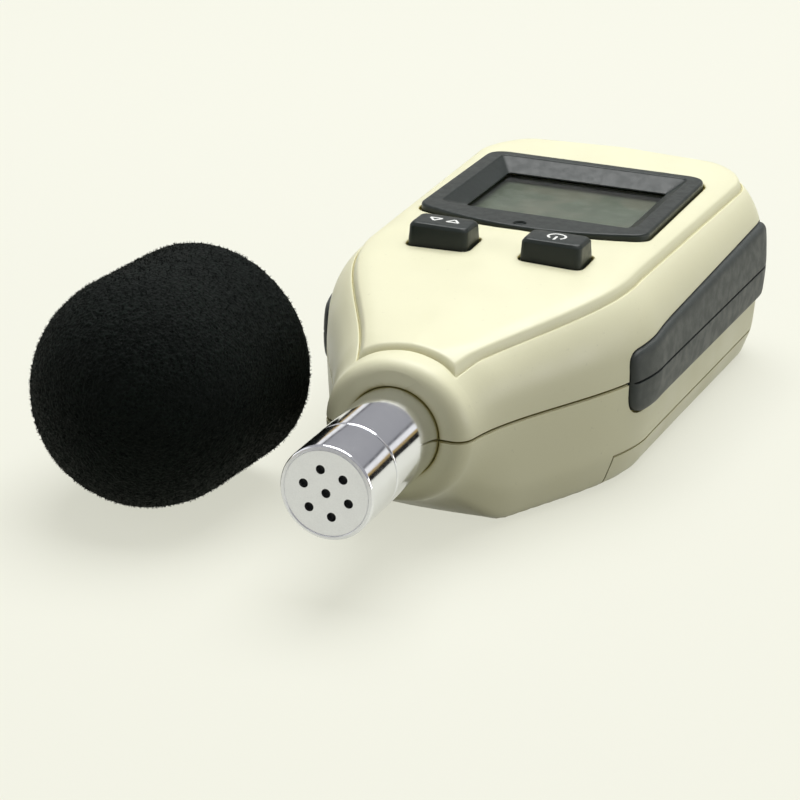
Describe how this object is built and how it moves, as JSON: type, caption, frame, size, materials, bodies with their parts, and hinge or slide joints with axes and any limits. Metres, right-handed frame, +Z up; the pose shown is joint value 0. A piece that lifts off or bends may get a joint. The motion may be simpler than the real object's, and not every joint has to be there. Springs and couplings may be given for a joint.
{
  "type": "sound level meter",
  "caption": "Handheld sound level meter: ivory two-part case flaring from a metal microphone nose, recessed display, push buttons, dark side grips, with its foam windscreen.",
  "frame": {"origin": "on the resting surface, under the middle of the meter's length and width", "axes": "+Z up out of the display, -Y along the microphone, +X across the meter to the viewer's right when the microphone points at the viewer"},
  "size_m": [0.0983, 0.1494, 0.0408],
  "materials": {
    "ivory_case": "satin moulded ABS, fine spark texture",
    "grip_rubber": "soft matt rubber",
    "dark_plastic": "semi-gloss moulded plastic",
    "window": "clear acrylic",
    "lcd": "grey-green liquid crystal glass",
    "milky_plastic": "translucent white plastic",
    "strip_rubber": "conductive rubber strip",
    "black_plastic": "moulded black resin",
    "nylon": "natural nylon",
    "circuit_board": "green solder resist on glass-fibre laminate",
    "steel": "plain steel",
    "capacitor_sleeve": "shrink sleeve on an aluminium can",
    "chrome": "bright chrome plate on brass",
    "mesh_cloth": "fine woven dust cloth",
    "red_insulation": "PVC insulation",
    "black_insulation": "PVC insulation",
    "cell_jacket": "printed film over a steel can",
    "nickel": "nickel-plated spring steel",
    "foam": "open-cell polyurethane foam"
  },
  "bodies": {
    "case": {"front_shell": "ivory_case", "rear_shell": "ivory_case", "front_grip_left": "grip_rubber", "rear_grip_left": "grip_rubber", "front_grip_right": "grip_rubber", "rear_grip_right": "grip_rubber", "lcd_bezel": "dark_plastic", "lcd_window": "window", "lcd_glass": "lcd", "lcd_backlight": "milky_plastic", "lcd_holder": "milky_plastic", "lcd_strip_near": "strip_rubber", "lcd_strip_far": "strip_rubber", "range_switch": "black_plastic", "power_switch": "black_plastic", "main_board": "circuit_board", "processor_chip": "black_plastic", "amplifier_chip": "black_plastic", "memory_chip": "black_plastic", "crystal_can": "steel", "supply_capacitor": "capacitor_sleeve", "coupling_capacitor": "capacitor_sleeve", "mic_cap": "chrome", "mic_tube": "chrome", "mic_mesh": "mesh_cloth", "mic_capsule": "steel", "capsule_holder": "nylon", "nose_bush": "grip_rubber", "mic_lead_signal": "red_insulation", "mic_lead_ground": "black_insulation", "battery_cell_1": "cell_jacket", "battery_spring_1": "nickel", "battery_cell_2": "cell_jacket", "battery_spring_2": "nickel", "battery_cell_3": "cell_jacket", "battery_spring_3": "nickel", "contact_plate_plus": "nickel", "contact_plate_front": "nickel", "contact_plate_rear": "nickel", "contact_plate_minus": "nickel", "battery_lead_plus": "red_insulation", "battery_lead_minus": "black_insulation", "board_screw_1": "steel", "board_screw_2": "steel", "board_screw_3": "steel", "board_screw_4": "steel", "case_screw_1": "steel", "case_screw_2": "steel", "case_screw_3": "steel", "case_screw_4": "steel"},
    "range_button": {"range_button": "dark_plastic", "range_plunger": "nylon"},
    "power_button": {"power_button": "dark_plastic", "power_plunger": "nylon"},
    "battery_door": {"battery_door": "ivory_case"},
    "windscreen": {"windscreen": "foam"}
  },
  "joints": [
    {"name": "range_button_press", "type": "slide", "parent": "case", "child": "range_button", "axis": [0, 0, -1], "range_m": [0, 0.0006], "stiffness_N_per_m": 2000},
    {"name": "power_button_press", "type": "slide", "parent": "case", "child": "power_button", "axis": [0, 0, -1], "range_m": [0, 0.0006], "stiffness_N_per_m": 2000},
    {"name": "battery_door_slide", "type": "slide", "parent": "case", "child": "battery_door", "axis": [0, 1, 0], "range_m": [0, 0.09]},
    {"name": "windscreen_slide", "type": "slide", "parent": "case", "child": "windscreen", "axis": [-1, 0, 0], "range_m": [0, 0.06]}
  ]
}
